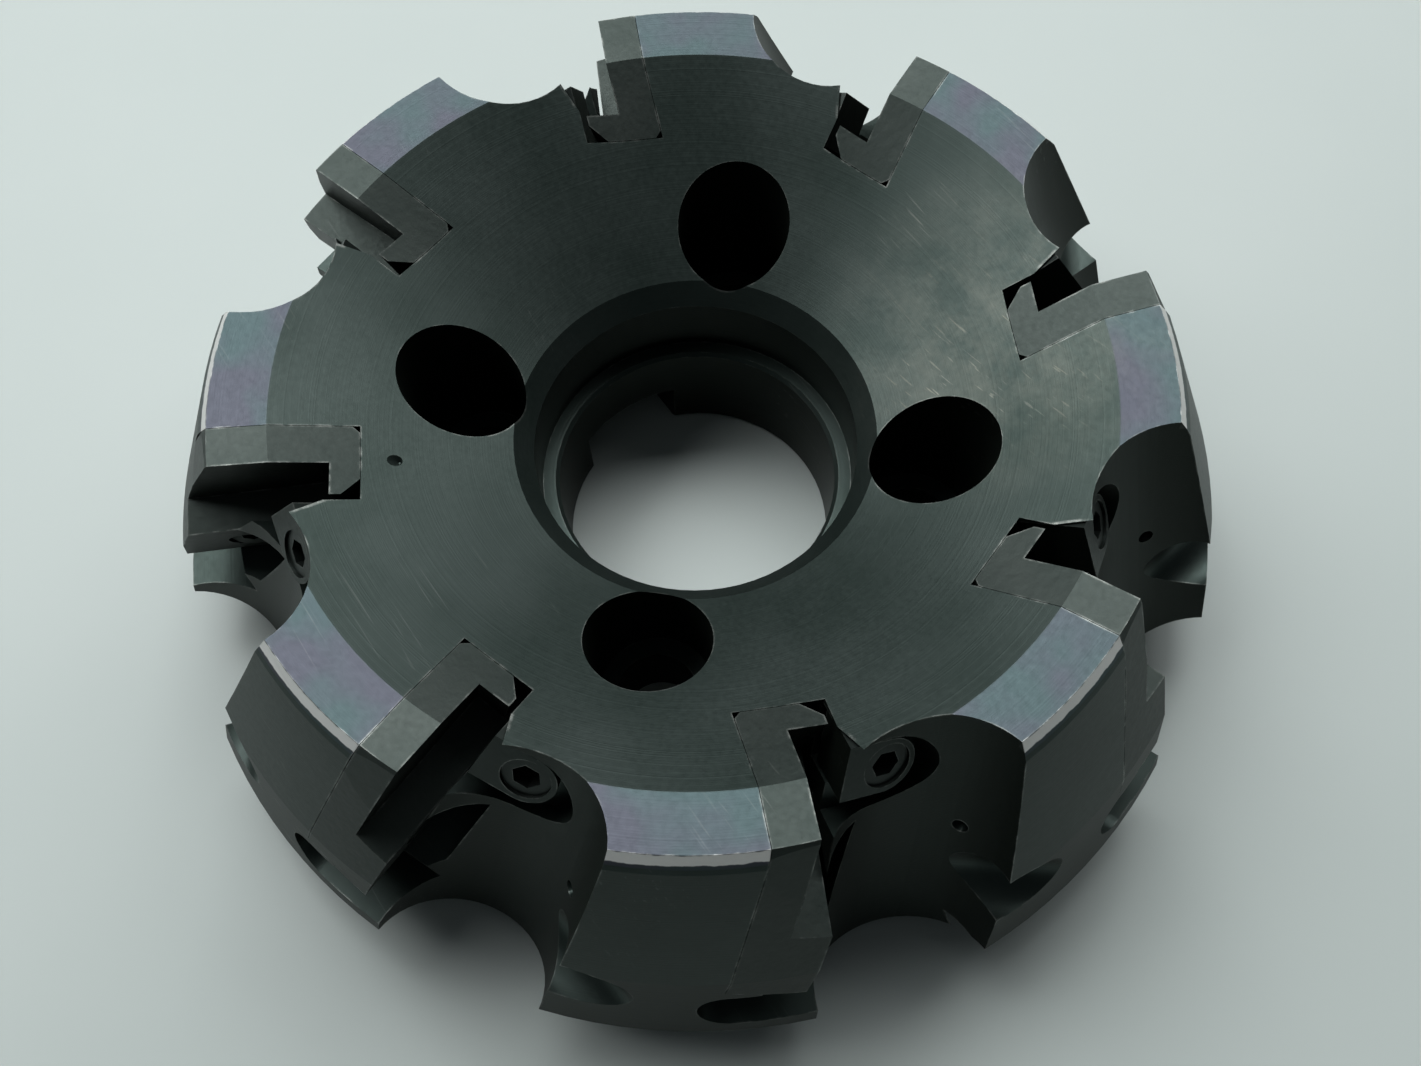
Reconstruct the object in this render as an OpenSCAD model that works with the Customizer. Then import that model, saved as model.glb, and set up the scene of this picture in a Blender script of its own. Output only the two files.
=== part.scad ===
// Face mill body, 8 inch class, for eight wedge-clamped inserts held in removable nests.
// Z runs along the spindle axis, with the back face on z = 0 and the cutting face up.
// The drive key slot lies along X, and the first pocket is half a tooth pitch from X.

/* [Body] */
// Radius of the edge between the dished face and its outer facet
dish_r = 84.1; // [83.5:0.1:84.6]
// Height of that edge above the back face
dish_z = 72.4; // [71.9:0.1:72.9]
// Radius where the face meets the bright rim chamfer
rim_r = 95.1; // [94.6:0.1:95.6]
// Overall height
body_h = 74.4; // [74.0:0.1:75.0]
// Radius at the top of the lower band
band_r = 112.7; // [112:0.1:113.5]
// Height of the top of the lower band
band_top_z = 40.5; // [39:0.5:42]
// Largest radius of the body
body_r = 119.4; // [118.5:0.1:120]
// Height of the largest radius
body_r_z = 16.5; // [15:0.5:18]
// Radius of the flat back face
back_r = 97; // [92:0.5:100]

/* [Arbor fit] */
// Diameter of the pilot bore
pilot_d = 63.5; // [63.4:0.1:63.6]
// Height of the shoulder between the pilot bore and the front counterbore
shoulder_z = 29; // [27:0.5:31]
// Diameter of the front counterbore
front_bore_d = 71; // [70:0.2:72]
// Width of the drive key slot
key_w = 25.4; // [25:0.1:26]
// Depth of the drive key slot
key_depth = 14; // [12:0.5:15]
// Diameter of the bolt circle
bolt_circle_d = 101.6; // [101:0.1:102]
// Diameter of the bolt holes
bolt_hole_d = 17.5; // [16.5:0.5:18]
// Diameter of the bolt counterbores
bolt_seat_d = 25.5; // [25:0.1:26]
// Height of the bolt seats
bolt_seat_z = 20; // [18:0.5:22]

/* [Teeth] */
// Number of insert pockets
teeth = 8; // [8:1:8]
// Thickness of a nest's long leg
leg_t = 8.2; // [7.8:0.1:8.6]
// Width of the gap that an insert fills
insert_gap = 8.15; // [8:0.05:8.3]
// Radius of a chip gullet
gullet_r = 18.5; // [18:0.1:19]

/* [Clamping] */
// Width of a clamping wedge across its round end
wedge_w = 12; // [11.6:0.1:12.2]
// Length of a wedge along its screw
wedge_l = 12; // [11:0.5:12]
// Diameter of a wedge screw's upper end
screw_d = 9.5; // [9:0.1:9.6]
// Hex key size of a wedge screw
key_af = 5; // [4.5:0.5:5.5]
// Diameter of a nest screw
nest_screw_d = 5; // [4:0.5:5]

/* [Hidden] */
pitch = 360 / teeth;
// Names of the sub-parts

// Cut-through allowance
eps = 1;
far = 60;

// Rim chamfer and the narrow bevel under it
rim_chamfer = 1.6;
rim_outer_r = rim_r + 1.5;
bevel_r = rim_r + 2.8;
bevel_z = body_h - 3.2;
outer_facets = 180;

// Mouth of the front counterbore
mouth_z = 43.8;
mouth_r = 39.3;
mouth_top_z = 48.5;
mouth_over = 0.2;
back_chamfer = 1.2;
shoulder_chamfer = 0.84;
bore_facets = 120;
hole_facets = 60;
small_facets = 40;

// Seat of a nest: a plane block leaned over its pocket, in a frame at the pocket's mouth
seat_r = 96;
seat_z = 73;
axial_lean = 15.05;
radial_lean = 5.14;
slot_back = -7.4;
slot_w = leg_t + insert_gap;
slot_inner = -27.6;
slot_floor = -40.2;
short_leg_t = 5.4;
short_leg_reach = 7.7;
insert_floor = -21.5;
inner_corner_cut = 4.8;
back_corner_cut = 2.2;
face_relief_at = [105.1, -7, 57];
face_relief_slope = 29.2;
face_relief_lean = 20;
nest_gap = 0.12;
front_gap = 0.3;

// Gullet axis, as a top point and a bottom point in the pocket's frame
gullet_top = [98, 22.3, 71];
gullet_foot = [122, 15.5, 6];
gullet_over = 20;

// Wedge screw axis: its place on the wedge's face, its polar angle and its azimuth
screw_at = [83.1, 17.5, 62.8];
screw_polar = 60;
screw_azimuth = 20;
screw_roll = 26.2;
guide_w = wedge_w + 0.6;
guide_end = 0.6;
wedge_floor_gap = 2;
clearance_w = 19;
clearance_drop = -3;
clearance_end = 1.5;
clearance_floor = -6;
cut_reach = 12;
wedge_flat = 9.45;
thread_clear = 0.08;
stud_d = 8;
stud_l = 9;
screw_sink = 0.6;
screw_upper_l = 11.3;
key_socket_depth = 5;
tap_over = 0.5;

// Nest screw: level, across the foot of the nest, with its head toward the gullet
nest_screw_at = [98.5, -1.2, 39.5];
nest_screw_azimuth = 84;
nest_head_d = 8.5;
nest_head_l = 5;
nest_screw_l = 22;
nest_key_af = 4;
nest_key_depth = 2.6;

// Relief beside the foot of the nest, for the nest screw's head and its key
foot_relief_inner = -14;
foot_relief_front = 16.3;
foot_relief_floor = -42.5;
foot_relief_top = -20;

// Round-ended groove in the lower band
groove_at = [104, -18.5, 27];
groove_w = 13;
groove_run = 40;

// Nick in the far side of the gullet
nick_at = [107, 40, 34.5];
nick_azimuth = 74;
nick_d = 15;
nick_below = 14;
nick_above = 16;

// Small cross hole in the gullet wall and a spotted mark on the face
gullet_hole_at = [93.1, 31.6, 42.7];
gullet_hole_d = 3.2;
gullet_hole_azimuth = 141;
gullet_hole_l = 16;
mark_r = 61.6;
mark_d = 2.6;
mark_depth = 1.2;
mark_tooth = 6;

// Direction from one point to another, as the polar angle and azimuth of rotate()
function polar(v) = acos(v[2] / norm(v));
function azimuth(v) = atan2(v[1], v[0]);

// Places its children at tooth k, counted from 1
module at_tooth(k) {
    rotate([0, 0, pitch * (k - 0.5)]) children();
}

// Frame of a nest's seat: X outward, Y across the slot, Z up along the insert
module seat_frame() {
    translate([seat_r, 0, seat_z])
        rotate([-axial_lean, 0, -radial_lean])
            children();
}

// Frame of a wedge: Z out along the screw, X away from the insert
module wedge_frame() {
    translate(screw_at)
        rotate([0, 0, screw_azimuth])
            rotate([0, screw_polar, 0])
                rotate([0, 0, 90 - screw_roll])
                    children();
}

// Outside of the cutter as a solid of revolution, from the axis out
module outer_solid() {
    rotate_extrude($fn = outer_facets)
        polygon([
            [0, 0],
            [back_r, 0],
            [body_r, body_r_z],
            [band_r, band_top_z],
            [bevel_r, bevel_z],
            [rim_outer_r, body_h - rim_chamfer],
            [rim_r, body_h],
            [dish_r, dish_z],
            [mouth_r, mouth_top_z],
            [0, mouth_top_z]
        ]);
}

// Pilot bore, front counterbore and their chamfers
module bores() {
    pilot_r = pilot_d / 2;
    front_r = front_bore_d / 2;
    translate([0, 0, -eps])
        cylinder(r = pilot_r, h = shoulder_z + 2 * eps, $fn = bore_facets);
    translate([0, 0, -eps])
        cylinder(r1 = pilot_r + back_chamfer + eps, r2 = pilot_r,
                 h = back_chamfer + eps, $fn = bore_facets);
    translate([0, 0, shoulder_z])
        cylinder(r = front_r, h = mouth_top_z, $fn = bore_facets);
    translate([0, 0, shoulder_z - shoulder_chamfer])
        cylinder(r1 = pilot_r, r2 = pilot_r + shoulder_chamfer,
                 h = shoulder_chamfer, $fn = bore_facets);
    translate([0, 0, mouth_z])
        cylinder(r1 = front_r, r2 = mouth_r + (mouth_r - front_r) * mouth_over,
                 h = (mouth_top_z - mouth_z) * (1 + mouth_over), $fn = bore_facets);
}

// Four counterbored bolt holes, halfway between the key slots
module bolt_holes() {
    for (a = [45:90:315])
        rotate([0, 0, a])
            translate([bolt_circle_d / 2, 0, 0]) {
                translate([0, 0, -eps])
                    cylinder(d = bolt_hole_d, h = bolt_seat_z + 2 * eps, $fn = hole_facets);
                translate([0, 0, bolt_seat_z])
                    cylinder(d = bolt_seat_d, h = body_h, $fn = hole_facets);
            }
}

// Drive key slot across the back face
module key_slot() {
    translate([-body_r - eps, -key_w / 2, -eps])
        cube([2 * (body_r + eps), key_w, key_depth + eps]);
}

// Slot that holds one nest, open to the rim and the face
module nest_slot() {
    seat_frame()
        translate([slot_inner, slot_back, slot_floor])
            cube([far + 10, slot_w, 2 * far]);
}

// Chip gullet: one leaning round cut
module gullet() {
    run = gullet_foot - gullet_top;
    translate(gullet_top)
        rotate([0, 0, azimuth(run)])
            rotate([0, polar(run), 0])
                translate([0, 0, -gullet_over])
                    cylinder(r = gullet_r, h = norm(run) + 2 * gullet_over,
                             $fn = bore_facets);
}

// Round-ended cut along a wedge screw, open toward the insert
module round_ended_cut(width, round_at, drop, floor_s) {
    translate([round_at, drop, floor_s])
        cylinder(d = width, h = far, $fn = hole_facets);
    translate([round_at - cut_reach, drop - width / 2, floor_s])
        cube([cut_reach, width, far]);
}

// Pocket for a wedge: a wide mouth, a close guide below it and the screw's tapped hole
module wedge_pocket() {
    wedge_frame() {
        round_ended_cut(clearance_w, clearance_end, clearance_drop, clearance_floor);
        round_ended_cut(guide_w, guide_end, 0, -wedge_l - wedge_floor_gap);
        translate([0, 0, -screw_upper_l - screw_sink - stud_l - tap_over])
            cylinder(d = stud_d + 2 * thread_clear, h = far, $fn = hole_facets);
    }
}

// Relief beside the foot of a nest
module foot_relief() {
    seat_frame()
        translate([foot_relief_inner, 0, foot_relief_floor])
            cube([far, foot_relief_front, foot_relief_top - foot_relief_floor]);
}

// Round-ended groove in the lower band, under the nest and open to the gullet
module band_groove() {
    translate(groove_at)
        rotate([0, 90, 0]) {
            cylinder(d = groove_w, h = far, $fn = hole_facets);
            translate([-groove_w / 2, 0, 0])
                cube([groove_w, groove_run, far]);
        }
}

// Nick in the far side of the gullet, which lets a key reach the nest screw
module key_nick() {
    translate(nick_at)
        rotate([0, 90, nick_azimuth])
            translate([0, 0, -nick_below])
                cylinder(d = nick_d, h = nick_below + nick_above, $fn = hole_facets);
}

// Frame of a nest screw: Z out along the screw from its head's seat
module nest_screw_frame() {
    translate(nest_screw_at)
        rotate([0, 0, nest_screw_azimuth])
            rotate([0, 90, 0])
                children();
}

// Tapped hole for a nest screw
module nest_screw_hole() {
    nest_screw_frame()
        translate([0, 0, -nest_head_l - nest_screw_l - tap_over])
            cylinder(d = nest_screw_d + 2 * thread_clear, h = nest_screw_l, $fn = small_facets);
}

// Small cross hole in the far wall of a gullet
module gullet_hole() {
    translate(gullet_hole_at)
        rotate([0, 90, gullet_hole_azimuth])
            translate([0, 0, -gullet_hole_l / 2])
                cylinder(d = gullet_hole_d, h = gullet_hole_l, $fn = small_facets);
}

// Spotted mark on the dished face
module face_mark() {
    slope = (dish_z - mouth_top_z) / (dish_r - mouth_r);
    at_tooth(mark_tooth)
        translate([mark_r, 0, mouth_top_z + (mark_r - mouth_r) * slope - mark_depth])
            cylinder(r1 = 0.2, r2 = mark_d / 2 + 1, h = 2 * mark_depth + 0.2,
                     $fn = small_facets);
}

module cutter_body() {
    color([0.30, 0.34, 0.34])
        difference() {
            outer_solid();
            bores();
            bolt_holes();
            key_slot();
            for (k = [1:teeth])
                at_tooth(k) {
                    nest_slot();
                    gullet();
                    wedge_pocket();
                    foot_relief();
                    band_groove();
                    key_nick();
                    nest_screw_hole();
                    gullet_hole();
                }
            face_mark();
        }
}

// Nest: a block that fills the slot, cut to an L round the insert gap
module nest(k) {
    width = slot_w - nest_gap - front_gap;
    color([0.38, 0.42, 0.42])
        at_tooth(k)
            difference() {
                intersection() {
                    seat_frame()
                        translate([slot_inner + nest_gap, slot_back + nest_gap, slot_floor])
                            cube([far, width, 2 * far]);
                    outer_solid();
                }
                // Gap for the insert, outside the short leg
                seat_frame()
                    translate([slot_inner + short_leg_t, slot_back + leg_t, insert_floor])
                        cube([far, 2 * far, 2 * far]);
                // The short leg stops before the slot's front wall
                seat_frame()
                    translate([slot_inner - eps, short_leg_reach, insert_floor])
                        cube([far, far, 2 * far]);
                // Chamfers on the two inner corners
                seat_frame()
                    translate([slot_inner, short_leg_reach, insert_floor])
                        rotate([0, 0, 45])
                            translate([-inner_corner_cut / 2, -inner_corner_cut / 2, 0])
                                cube([inner_corner_cut, inner_corner_cut, 2 * far]);
                seat_frame()
                    translate([slot_inner, slot_back, slot_floor - eps])
                        rotate([0, 0, 45])
                            translate([-back_corner_cut / 2, -back_corner_cut / 2, 0])
                                cube([back_corner_cut, back_corner_cut, 2 * far]);
                // Relief on the upper part of the outer face
                translate(face_relief_at)
                    rotate([0, -face_relief_slope, 0])
                        rotate([face_relief_lean, 0, 0])
                            translate([0, -far / 2, 0])
                                cube([far, far, far]);
                // Screw hole with a counterbore for the head
                nest_screw_frame() {
                    translate([0, 0, -far / 2])
                        cylinder(d = nest_screw_d + 0.5, h = far, $fn = small_facets);
                    translate([0, 0, -nest_head_l - 0.1])
                        cylinder(d = nest_head_d + 0.5, h = far / 2, $fn = small_facets);
                }
            }
}

// Socket head cap screw that holds a nest in its slot
module nest_screw(k) {
    color([0.22, 0.22, 0.23])
        at_tooth(k)
            nest_screw_frame()
                difference() {
                    union() {
                        translate([0, 0, -nest_head_l])
                            cylinder(d = nest_head_d, h = nest_head_l, $fn = small_facets);
                        translate([0, 0, -nest_head_l - nest_screw_l])
                            cylinder(d = nest_screw_d, h = nest_screw_l + eps, $fn = small_facets);
                    }
                    translate([0, 0, -nest_key_depth])
                        cylinder(d = nest_key_af / cos(30), h = nest_key_depth + eps, $fn = 6);
                }
}

// Wedge: a round-ended block with its clamping flat along the insert
module wedge(k) {
    color([0.34, 0.37, 0.37])
        at_tooth(k)
            intersection() {
                wedge_frame()
                    difference() {
                        union() {
                            translate([0, 0, -wedge_l])
                                cylinder(d = wedge_w, h = wedge_l, $fn = hole_facets);
                            translate([-2 * wedge_w, -wedge_w / 2, -wedge_l])
                                cube([2 * wedge_w, wedge_w, wedge_l]);
                        }
                        translate([0, 0, -wedge_l - eps])
                            cylinder(d = screw_d + 2 * thread_clear,
                                     h = wedge_l + 2 * eps, $fn = hole_facets);
                    }
                seat_frame()
                    translate([-far, wedge_flat, -far])
                        cube([2 * far, far, 2 * far]);
            }
}

// Double-ended screw that draws a wedge in, with a hex socket in its outer end
module wedge_screw(k) {
    color([0.20, 0.20, 0.21])
        at_tooth(k)
            wedge_frame()
                translate([0, 0, -screw_sink])
                    difference() {
                        union() {
                            translate([0, 0, -screw_upper_l])
                                cylinder(d = screw_d, h = screw_upper_l, $fn = hole_facets);
                            translate([0, 0, -screw_upper_l - stud_l])
                                cylinder(d = stud_d, h = stud_l + eps, $fn = hole_facets);
                        }
                        translate([0, 0, -key_socket_depth])
                            cylinder(d = key_af / cos(30), h = key_socket_depth + eps, $fn = 6);
                    }
}

cutter_body();
for (k = [1:teeth]) {
    nest(k);
    nest_screw(k);
    wedge(k);
    wedge_screw(k);
}
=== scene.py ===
import math

import bmesh
import bpy
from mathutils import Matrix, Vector

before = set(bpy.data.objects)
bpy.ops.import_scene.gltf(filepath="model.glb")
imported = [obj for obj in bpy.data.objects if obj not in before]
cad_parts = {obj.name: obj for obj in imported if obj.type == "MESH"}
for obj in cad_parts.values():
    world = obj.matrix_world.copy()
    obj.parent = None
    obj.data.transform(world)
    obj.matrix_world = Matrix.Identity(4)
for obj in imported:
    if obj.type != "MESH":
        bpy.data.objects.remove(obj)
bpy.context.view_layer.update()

# Camera. It stands in front of and above the cutter, a little more than the
# cutter's own width away, and looks down past the near rim.
CAMERA_PLACE = (0.11136, -0.07114, 0.28257)
CAMERA_TURN = (24.66, 0.625, 54.87)
lens = bpy.data.cameras.new("camera")
lens.lens = 31.36
lens.sensor_width = 36.0
lens.clip_start = 0.01
camera = bpy.data.objects.new("camera", lens)
camera.location = CAMERA_PLACE
camera.rotation_euler = [math.radians(turn) for turn in CAMERA_TURN]
bpy.context.collection.objects.link(camera)
bpy.context.scene.camera = camera

# Table and light. A plain pale table top, lit from behind and from both sides
# by wide soft panels, so the dished face catches them and the near walls stay dark.
TABLE_SIZE = 3.0
TABLE_DARK = (0.560, 0.620, 0.600, 1.0)
TABLE_LIGHT = (0.620, 0.670, 0.650, 1.0)
TABLE_CLOUD_SCALE = 9.0
table_mesh = bpy.data.meshes.new("table")
table_shape = bmesh.new()
bmesh.ops.create_grid(table_shape, x_segments=1, y_segments=1, size=TABLE_SIZE)
table_shape.to_mesh(table_mesh)
table_shape.free()
table = bpy.data.objects.new("table", table_mesh)
bpy.context.collection.objects.link(table)


def add_node(tree, kind, inputs=None, **settings):
    """Adds one shader node, sets its fields, and fills or links its inputs."""
    made = tree.nodes.new(kind)
    for name, value in settings.items():
        setattr(made, name, value)
    for name, value in (inputs or {}).items():
        socket = made.inputs[name]
        if isinstance(value, bpy.types.NodeSocket):
            tree.links.new(value, socket)
        else:
            socket.default_value = value
    return made


def object_place(tree):
    """Where a point lies on the piece, for patterns that stay with it."""
    return add_node(tree, "ShaderNodeTexCoord").outputs["Object"]


def blend_colour(tree, factor, first, second):
    """Mixes two colours by a mask."""
    made = add_node(tree, "ShaderNodeMix", {0: factor, 6: first, 7: second},
                    data_type="RGBA")
    return made.outputs[2]


def blend_value(tree, factor, first, second):
    """Mixes two values by a mask."""
    made = add_node(tree, "ShaderNodeMix", {0: factor, 2: first, 3: second},
                    data_type="FLOAT")
    return made.outputs[0]


def new_material(name):
    """Starts a material and returns it with its tree and its Principled shader."""
    material = bpy.data.materials.new(name)
    material.use_nodes = True
    tree = material.node_tree
    shader = tree.nodes["Principled BSDF"]
    return material, tree, shader


table_paint, tree, shader = new_material("table_paint")
cloud = add_node(tree, "ShaderNodeTexNoise",
                 {"Vector": object_place(tree), "Scale": TABLE_CLOUD_SCALE, "Detail": 4.0})
tree.links.new(blend_colour(tree, cloud.outputs["Fac"], TABLE_DARK, TABLE_LIGHT),
               shader.inputs["Base Color"])
shader.inputs["Roughness"].default_value = 0.45
table_mesh.materials.append(table_paint)

AIM = Vector((0.0, 0.0, 0.05))
CAMERA_AZIMUTH = math.atan2(camera.location.y, camera.location.x)
PANEL_DISTANCE = 1.6


def soft_panel(name, side, height, size, power, tint):
    """A soft panel: side is its angle from straight behind the cutter."""
    panel = bpy.data.lights.new(name, "AREA")
    panel.shape = "RECTANGLE"
    panel.size = size[0]
    panel.size_y = size[1]
    panel.energy = power
    panel.color = tint
    stand = bpy.data.objects.new(name, panel)
    azimuth = CAMERA_AZIMUTH + math.pi + math.radians(side)
    rise = math.radians(height)
    away = Vector((math.cos(azimuth) * math.cos(rise),
                   math.sin(azimuth) * math.cos(rise),
                   math.sin(rise)))
    stand.location = AIM + PANEL_DISTANCE * away
    stand.rotation_euler = away.to_track_quat("Z", "Y").to_euler()
    bpy.context.collection.objects.link(stand)


soft_panel("back_panel", 6, 56, (1.3, 0.9), 15.0, (0.96, 1.0, 1.0))
soft_panel("left_panel", -40, 44, (1.1, 0.9), 7.0, (0.97, 1.0, 1.0))
soft_panel("right_panel", 56, 50, (1.2, 0.9), 11.0, (0.97, 1.0, 1.0))

room = bpy.data.worlds.new("room")
room.use_nodes = True
daylight = room.node_tree.nodes["Background"]
daylight.inputs["Color"].default_value = (0.86, 0.96, 1.0, 1.0)
daylight.inputs["Strength"].default_value = 0.05
bpy.context.scene.world = room
bpy.context.scene.view_settings.view_transform = "Standard"


# Cutter body. One turned and milled steel piece, blackened all over; the rim
# chamfer was ground back to bare steel afterwards, and handling has worn its edges.
def start_group(name, inputs, outputs):
    """Starts a node group and returns it with its input and output nodes."""
    group = bpy.data.node_groups.new(name, "ShaderNodeTree")
    for label, value in inputs.items():
        made = group.interface.new_socket(label, in_out="INPUT",
                                          socket_type="NodeSocketFloat")
        made.default_value = value
    for label in outputs:
        group.interface.new_socket(label, in_out="OUTPUT", socket_type="NodeSocketFloat")
    return group, group.nodes.new("NodeGroupInput"), group.nodes.new("NodeGroupOutput")


def grouped(tree, group, **inputs):
    """Places a shared effect in a material with its own values."""
    made = tree.nodes.new("ShaderNodeGroup")
    made.node_tree = group
    for name, value in inputs.items():
        made.inputs[name].default_value = value
    return made


def math_of(tree, operation, first, second, third=0.0, clamp=False):
    """One Math node's result."""
    made = add_node(tree, "ShaderNodeMath", {0: first, 1: second, 2: third},
                    operation=operation, use_clamp=clamp)
    return made.outputs[0]


def step_up(tree, value, low, high):
    """0 at low, 1 at high, and a straight ramp between, whichever is larger."""
    made = add_node(tree, "ShaderNodeMapRange",
                    {"Value": value, "From Min": low, "From Max": high})
    return made.outputs["Result"]


def noise(tree, place, scale, **inputs):
    """A noise pattern's value."""
    made = add_node(tree, "ShaderNodeTexNoise",
                    {"Vector": place, "Scale": scale, **inputs})
    return made.outputs["Fac"]


# Worn edges: bright where the surface turns sharply, broken up by noise
RUB_SCALE = 210.0
RUB_FULL = 0.72
worn_edges, knobs, result = start_group(
    "worn_edges", {"Reach": 0.0006, "Start": 0.06, "End": 0.35, "Broken": 0.5}, ["Mask"])
place = object_place(worn_edges)
rounded = add_node(worn_edges, "ShaderNodeBevel", {"Radius": knobs.outputs["Reach"]}, samples=6)
surface = add_node(worn_edges, "ShaderNodeNewGeometry")
alike = add_node(worn_edges, "ShaderNodeVectorMath",
                 {0: rounded.outputs["Normal"], 1: surface.outputs["Normal"]},
                 operation="DOT_PRODUCT")
turned = math_of(worn_edges, "SUBTRACT", 1.0, alike.outputs["Value"])
spread = step_up(worn_edges, turned, knobs.outputs["Start"], knobs.outputs["End"])
rub = noise(worn_edges, place, RUB_SCALE, Detail=5.0, Roughness=0.65)
bitten = step_up(worn_edges, rub, knobs.outputs["Broken"], RUB_FULL)
worn_edges.links.new(math_of(worn_edges, "MULTIPLY", spread, bitten, clamp=True),
                     result.inputs["Mask"])

# Scratches: thin lines in three directions, kept to scattered patches
SCRATCH_TURNS = ((18.0, 0.0), (71.0, 0.3), (128.0, 0.7))
SCRATCH_STRETCH = (0.02, 1.0, 0.4)
SCRATCH_SCALE = 1500.0
SCRATCH_THIN = (0.70, 0.76)
PATCH_SCALE = 24.0
PATCH_FULL = 0.75
scratches, knobs, result = start_group("scratches", {"Amount": 0.5}, ["Mask"])
place = object_place(scratches)
patches = noise(scratches, place, PATCH_SCALE, Detail=2.0)
lines = None
for turn, shift in SCRATCH_TURNS:
    laid = add_node(scratches, "ShaderNodeMapping",
                    {"Vector": place, "Location": (shift, shift, 0.0),
                     "Rotation": (0.0, 0.0, math.radians(turn)),
                     "Scale": SCRATCH_STRETCH})
    streak = noise(scratches, laid.outputs["Vector"], SCRATCH_SCALE, Detail=1.0,
                   Distortion=0.15)
    thin = step_up(scratches, streak, *SCRATCH_THIN)
    lines = thin if lines is None else math_of(scratches, "MAXIMUM", lines, thin)
where = step_up(scratches, patches, knobs.outputs["Amount"], PATCH_FULL)
scratches.links.new(math_of(scratches, "MULTIPLY", lines, where, clamp=True),
                    result.inputs["Mask"])

# Blacking: the uneven depth of the black finish, broad clouds over fine grain
BLACKING_GRAIN_SCALE = 900.0
blacking, knobs, result = start_group("blacking", {"Scale": 30.0}, ["Depth", "Grain"])
place = object_place(blacking)
clouds = noise(blacking, place, knobs.outputs["Scale"], Detail=5.0, Roughness=0.55)
blacking.links.new(clouds, result.inputs["Depth"])
fine = noise(blacking, place, BLACKING_GRAIN_SCALE, Detail=3.0)
blacking.links.new(fine, result.inputs["Grain"])

BARE_STEEL = (0.78, 0.78, 0.76, 1.0)
RUBBED = (0.34, 0.35, 0.33, 1.0)
SCRATCH_SHOW = 0.16
# Painted shade: the near-black colour that upright faces are darkened towards, and their
# roughness
PAINTED_WALL_SHADE = (0.012, 0.017, 0.013, 1.0)
UPRIGHT_ROUGHNESS = 0.5
BLACKED_METAL = 0.75
UPRIGHT_NORMAL = 0.30
LEVEL_NORMAL = 0.60


def black_steel(name, deep, pale, edge_reach, edge_start, rough):
    """Blackened steel with clouds, grain, scratches and rubbed edges.

    Returns the material, its tree and shader, and the colour, roughness and
    rubbed mask so that a piece can add its own marks."""
    material, tree, shader = new_material(name)
    blacked = grouped(tree, blacking, Scale=30.0)
    depth = step_up(tree, blacked.outputs["Depth"], 0.32, 0.70)
    colour = blend_colour(tree, depth, deep, pale)
    grain = step_up(tree, blacked.outputs["Grain"], 0.2, 0.8)
    roughness = blend_value(tree, grain, rough - 0.05, rough + 0.07)
    worn = grouped(tree, worn_edges, Reach=edge_reach, Start=edge_start, End=0.18,
                   Broken=0.46)
    lines = grouped(tree, scratches, Amount=0.56)
    rubbed = math_of(tree, "MAXIMUM", worn.outputs["Mask"],
                     math_of(tree, "MULTIPLY", lines.outputs["Mask"], SCRATCH_SHOW))
    return material, tree, shader, colour, roughness, rubbed


def finish_steel(tree, shader, colour, roughness, rubbed, height, depth,
                 metal=BLACKED_METAL):
    """Joins colour, roughness, rubbed edges and a bump to the shader.

    Faces that stand upright get a painted shade: their colour is darkened towards a near-black
    and they are made rougher."""
    surface = add_node(tree, "ShaderNodeNewGeometry")
    lie = add_node(tree, "ShaderNodeSeparateXYZ", {"Vector": surface.outputs["True Normal"]})
    # Painted shade: faces that stand upright are darkened towards a near-black shade colour
    upright = step_up(tree, lie.outputs["Z"], UPRIGHT_NORMAL, LEVEL_NORMAL)
    shaded_upright = blend_colour(tree, upright, PAINTED_WALL_SHADE, colour)
    shown = blend_colour(tree, rubbed, shaded_upright, RUBBED)
    tree.links.new(shown, shader.inputs["Base Color"])
    tree.links.new(blend_value(tree, upright, UPRIGHT_ROUGHNESS, roughness),
                   shader.inputs["Roughness"])
    tree.links.new(blend_value(tree, rubbed, metal, 1.0), shader.inputs["Metallic"])
    bump = add_node(tree, "ShaderNodeBump", {"Height": height, "Distance": depth})
    tree.links.new(bump.outputs["Normal"], shader.inputs["Normal"])


def carry(node, material):
    """Gives a carried-over node its one material."""
    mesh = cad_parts[node].data
    mesh.materials.clear()
    mesh.materials.append(material)


MM = 0.001
body_steel, tree, shader, colour, roughness, rubbed = black_steel(
    "blackened_body", (0.030, 0.044, 0.039, 1.0), (0.052, 0.068, 0.063, 1.0),
    0.0007, 0.05, 0.40)
place = object_place(tree)
apart = add_node(tree, "ShaderNodeSeparateXYZ", {"Vector": place})
flat = add_node(tree, "ShaderNodeCombineXYZ",
                {"X": apart.outputs["X"], "Y": apart.outputs["Y"]})
radius = add_node(tree, "ShaderNodeVectorMath", {0: flat.outputs["Vector"]},
                  operation="LENGTH").outputs["Value"]
height = apart.outputs["Z"]

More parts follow.
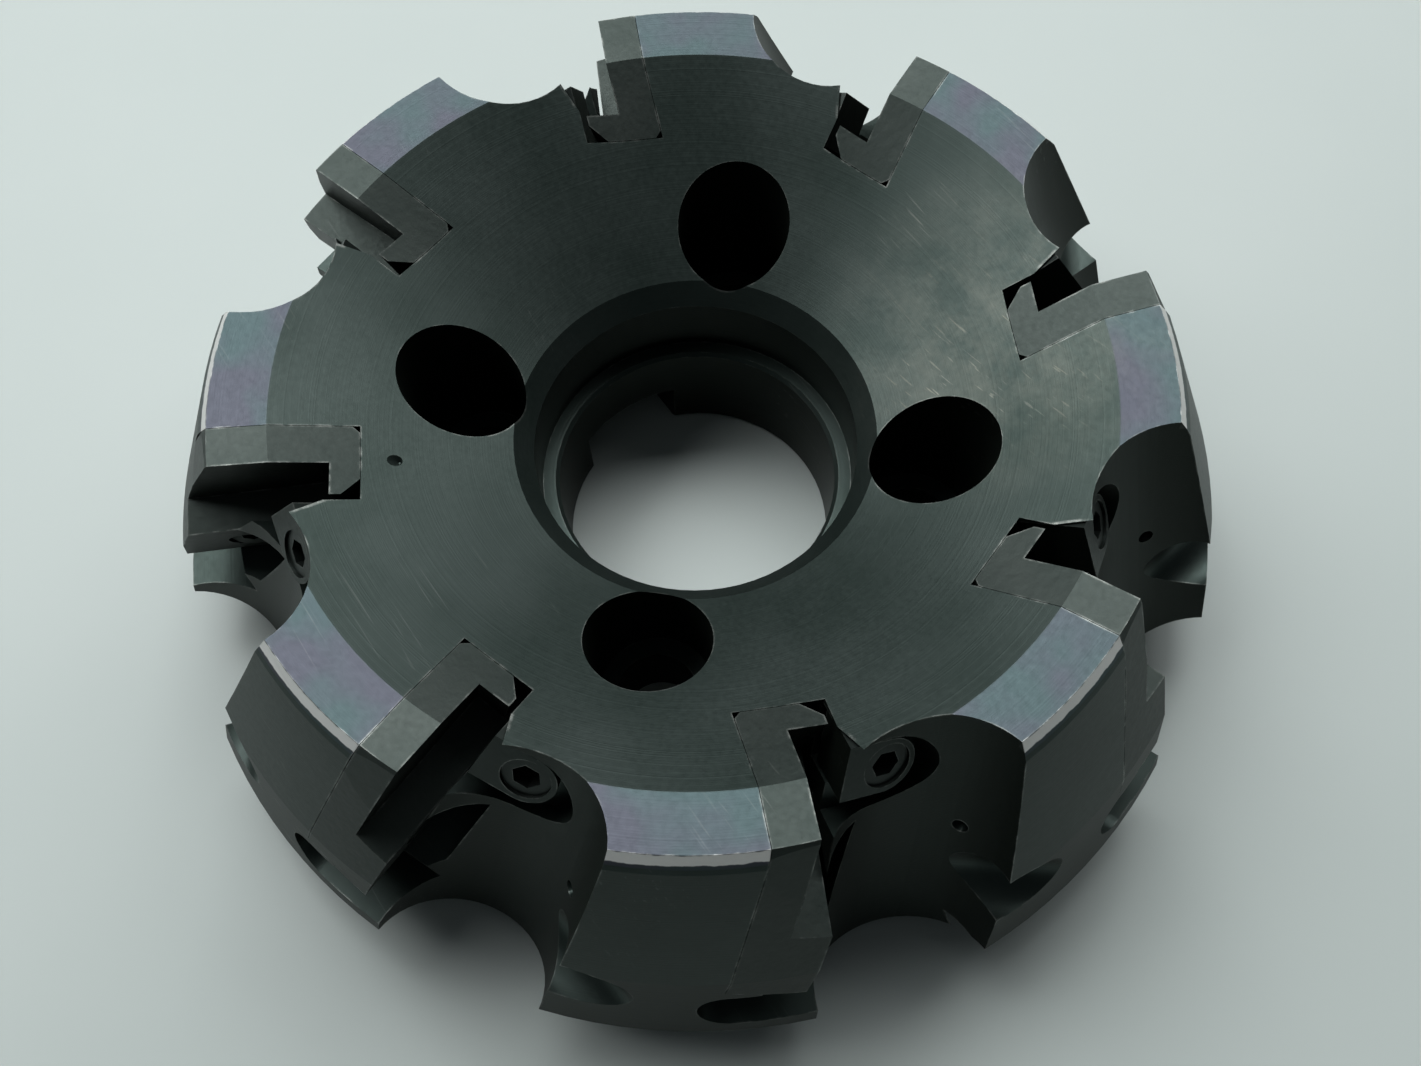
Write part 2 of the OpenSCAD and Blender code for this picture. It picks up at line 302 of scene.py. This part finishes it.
# The outer facet is painted bluer and paler than the dish: the blue and violet are the oxide's
# own tint, the paler tone is a painted sheen standing in for the overhead light it reflects
FACET_INNER = 84.1 * MM
FACET_HEIGHT = 72.0 * MM
FACET_BLUE_AND_SHEEN = (0.050, 0.076, 0.082, 1.0)
FACET_VIOLET_AND_SHEEN = (0.062, 0.063, 0.084, 1.0)
FACET_TINT_AND_SHEEN = 0.85
on_facet = math_of(tree, "MULTIPLY",
                   step_up(tree, radius, FACET_INNER - 0.2 * MM, FACET_INNER + 0.2 * MM),
                   step_up(tree, height, FACET_HEIGHT, FACET_HEIGHT + 0.3 * MM))
sheen = noise(tree, place, 55.0, Detail=2.0)
facet_tint_and_sheen = blend_colour(tree, step_up(tree, sheen, 0.42, 0.62), FACET_BLUE_AND_SHEEN, FACET_VIOLET_AND_SHEEN)
colour = blend_colour(tree, math_of(tree, "MULTIPLY", on_facet, FACET_TINT_AND_SHEEN), colour,
                      facet_tint_and_sheen)

# A painted highlight: a pale, brownish patch on one side of the dish stands in for a fanning
# reflection there, streaked along fine crossed scratch lines
HAZE_CENTRE = (24.0 * MM, 60.0 * MM, 63.0 * MM)
HAZE_CORE = 8.0 * MM
HAZE_REACH = 42.0 * MM
HAZE_HIGHLIGHT_COLOUR = (0.19, 0.185, 0.15, 1.0)
haze_far = add_node(tree, "ShaderNodeVectorMath", {0: place, 1: HAZE_CENTRE},
                    operation="DISTANCE").outputs["Value"]
haze_cloud = noise(tree, place, 60.0, Detail=6.0, Roughness=0.7)
haze_highlight = math_of(tree, "MULTIPLY", step_up(tree, haze_far, HAZE_REACH, HAZE_CORE),
               step_up(tree, haze_cloud, 0.40, 0.66))
haze_lines = grouped(tree, scratches, Amount=0.20)
haze_highlight = math_of(tree, "MULTIPLY", haze_highlight,
               math_of(tree, "MULTIPLY_ADD", haze_lines.outputs["Mask"], 0.9, 0.25))
colour = blend_colour(tree, haze_highlight, colour, HAZE_HIGHLIGHT_COLOUR)

# Turning marks run round the axis
TURNING_PITCH = 2600.0
turned_place = add_node(tree, "ShaderNodeCombineXYZ",
                        {"X": math_of(tree, "MULTIPLY", radius, TURNING_PITCH),
                         "Y": math_of(tree, "MULTIPLY", height, TURNING_PITCH)})
turned_lines = noise(tree, turned_place.outputs["Vector"], 1.0, Detail=2.0)

# Ground rim chamfer, bare and bright with a ragged lower edge
RIM_INNER = 95.15 * MM
RIM_HEIGHT = 72.75 * MM
ragged = noise(tree, place, 420.0, Detail=3.0)
wander = math_of(tree, "MULTIPLY_ADD", ragged, 0.6 * MM, -0.3 * MM)
on_rim = math_of(tree, "MULTIPLY",
                 step_up(tree, math_of(tree, "ADD", radius, wander),
                         RIM_INNER - 0.1 * MM, RIM_INNER + 0.1 * MM),
                 step_up(tree, math_of(tree, "ADD", height, wander),
                         RIM_HEIGHT - 0.05 * MM, RIM_HEIGHT + 0.1 * MM))
colour = blend_colour(tree, on_rim, colour, BARE_STEEL)
roughness = blend_value(tree, on_rim, roughness, 0.5)
body_metal = blend_value(tree, on_rim, BLACKED_METAL, 0.3)

body_bump = math_of(tree, "ADD", math_of(tree, "MULTIPLY", turned_lines, 0.5),
                    math_of(tree, "MULTIPLY", ragged, 0.25))
finish_steel(tree, shader, colour, roughness, rubbed, body_bump, 0.05 * MM, body_metal)
carry("cutter_body", body_steel)

# Nests. Eight L-shaped blocks of hardened steel, ground and blackened, each
# let into its slot and flush with the body; their corners are rubbed bright.
TEETH = 8
nest_steel, tree, shader, colour, roughness, rubbed = black_steel(
    "blackened_nest", (0.030, 0.040, 0.036, 1.0), (0.050, 0.060, 0.055, 1.0),
    0.0008, 0.04, 0.43)
rough_skin = noise(tree, object_place(tree), 500.0, Detail=4.0)
finish_steel(tree, shader, colour, roughness, rubbed, rough_skin, 0.06 * MM)
for tooth in range(1, TEETH + 1):
    carry(f"nest_{tooth}", nest_steel)

# Nest screws. Socket head cap screws, level across the foot of each nest,
# with black heads that face the gullet.
screw_steel, tree, shader, colour, roughness, rubbed = black_steel(
    "blackened_screw", (0.022, 0.028, 0.026, 1.0), (0.045, 0.052, 0.050, 1.0),
    0.0005, 0.05, 0.36)
pits = noise(tree, object_place(tree), 700.0, Detail=3.0)
finish_steel(tree, shader, colour, roughness, rubbed, pits, 0.04 * MM)
for tooth in range(1, TEETH + 1):
    carry(f"nest_screw_{tooth}", screw_steel)

# Wedges. Round-ended steel blocks, milled and blackened, that slide down
# beside the insert gap as their screws are turned.
wedge_steel, tree, shader, colour, roughness, rubbed = black_steel(
    "blackened_wedge", (0.028, 0.036, 0.033, 1.0), (0.050, 0.060, 0.056, 1.0),
    0.0006, 0.05, 0.42)
milled = noise(tree, object_place(tree), 600.0, Detail=3.0)
finish_steel(tree, shader, colour, roughness, rubbed, milled, 0.05 * MM)
for tooth in range(1, TEETH + 1):
    carry(f"wedge_{tooth}", wedge_steel)

# Wedge screws. Double-ended steel screws with a hex socket, one through each
# wedge, blackened like the nest screws.
for tooth in range(1, TEETH + 1):
    carry(f"wedge_screw_{tooth}", screw_steel)
